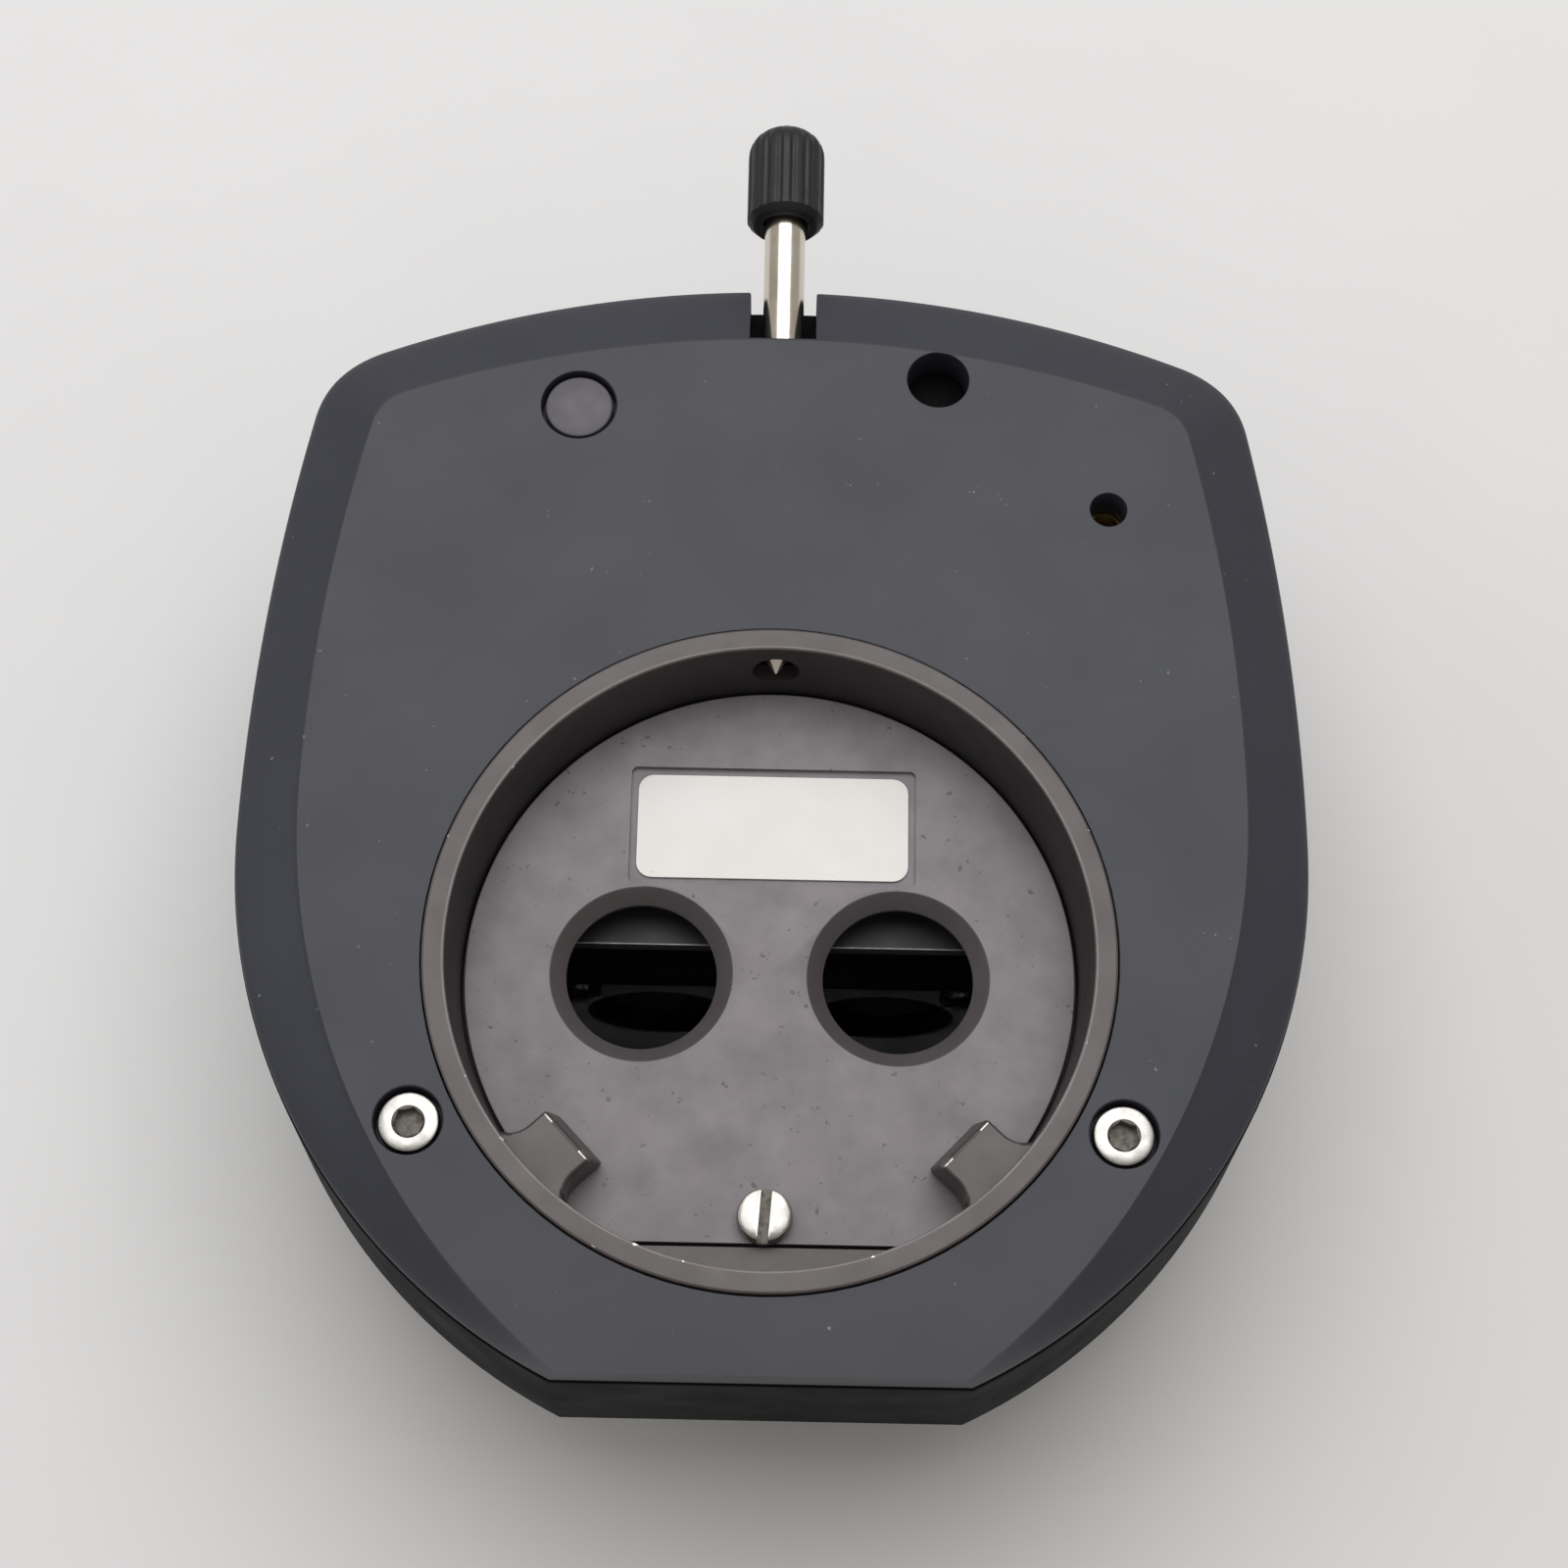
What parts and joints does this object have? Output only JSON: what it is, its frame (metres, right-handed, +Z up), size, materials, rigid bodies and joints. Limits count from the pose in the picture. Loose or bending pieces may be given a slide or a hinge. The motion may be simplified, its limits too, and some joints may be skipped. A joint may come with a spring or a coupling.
{
  "type": "microscope tilting wedge module",
  "caption": "Tilting wedge for a stereo microscope: round seat with lugs and clamp knob on top, two mirrors inside, dovetail flange below.",
  "frame": {"origin": "centre of the dovetail flange's underside", "axes": "+Z up out of the flange towards the seat face, +Y from the seat towards the clamp knob, X along the tilt axis"},
  "size_m": [0.1014, 0.1279, 0.0444],
  "materials": {
    "satin_paint": "satin blue-grey paint on a casting",
    "black_paint": "satin black paint",
    "cast_grey": "machined and dull grey finish",
    "floor_grey": "grey matt finish",
    "blank_label": "white label film, blank",
    "brass": "turned",
    "nickel_plate": "bright nickel plate",
    "black_plastic": "moulded with straight flutes",
    "grey_plastic": "moulded plug",
    "rubber": "moulded ring",
    "mirror_glass": "front-silvered plate",
    "turned_steel": "turned",
    "bright_steel": "bright screws and pins",
    "black_anodised": "black anodised, milled"
  },
  "bodies": {
    "base": {"base_tray": "black_anodised", "dovetail_flange": "turned_steel", "flange_screw_1": "bright_steel", "flange_screw_2": "bright_steel", "flange_screw_3": "bright_steel", "hinge_bush_left": "brass", "hinge_bush_right": "brass", "mirror_post_left": "black_anodised", "mirror_post_right": "black_anodised"},
    "head": {"aperture_plate": "floor_grey", "arm_screw_left_1": "bright_steel", "arm_screw_left_2": "bright_steel", "arm_screw_right_1": "bright_steel", "arm_screw_right_2": "bright_steel", "clamp_bush": "brass", "cover_screw_left": "bright_steel", "cover_screw_right": "bright_steel", "drive_pin": "bright_steel", "face_plug": "grey_plastic", "floor_plate_screw": "bright_steel", "hinge_arm_left": "black_anodised", "hinge_arm_right": "black_anodised", "hinge_pin_left": "bright_steel", "hinge_pin_right": "bright_steel", "label_plate": "blank_label", "skirt_shell": "black_paint", "threaded_insert": "brass", "top_cover": "satin_paint", "tube_seat_ring": "cast_grey", "upper_chassis": "black_anodised", "upper_mirror": "mirror_glass", "upper_mirror_bracket": "black_anodised"},
    "mirror_carriage": {"lower_mirror": "mirror_glass", "mirror_carrier": "black_anodised", "mirror_shaft_left": "bright_steel", "mirror_shaft_right": "bright_steel", "slotted_lever": "bright_steel"},
    "clamp_feed": {"clamp_o_ring": "rubber"},
    "clamp_screw": {"clamp_knob": "black_plastic", "clamp_rod": "nickel_plate", "knob_set_screw": "bright_steel"}
  },
  "joints": [
    {"name": "head_tilt", "type": "hinge", "parent": "base", "child": "head", "pos_m": [0, -0.014, 0.019], "axis": [-1, 0, 0], "range_deg": [0, 20]},
    {"name": "mirror_tilt", "type": "hinge", "parent": "base", "child": "mirror_carriage", "pos_m": [0, 0, 0.019], "axis": [-1, 0, 0], "range_deg": [0, 10]},
    {"name": "clamp_advance", "type": "slide", "parent": "head", "child": "clamp_feed", "axis": [0, -1, 0], "range_m": [-0.0014, 0.0007]},
    {"name": "clamp_turn", "type": "hinge", "parent": "clamp_feed", "child": "clamp_screw", "pos_m": [0, 0, 0.04], "axis": [0, -1, 0], "range_deg": [-720, 360]}
  ],
  "couplings": [
    {"joint": "mirror_tilt", "follows": "head_tilt", "ratio": 0.5},
    {"joint": "clamp_turn", "follows": "clamp_advance", "rad_per_m": 8976}
  ]
}
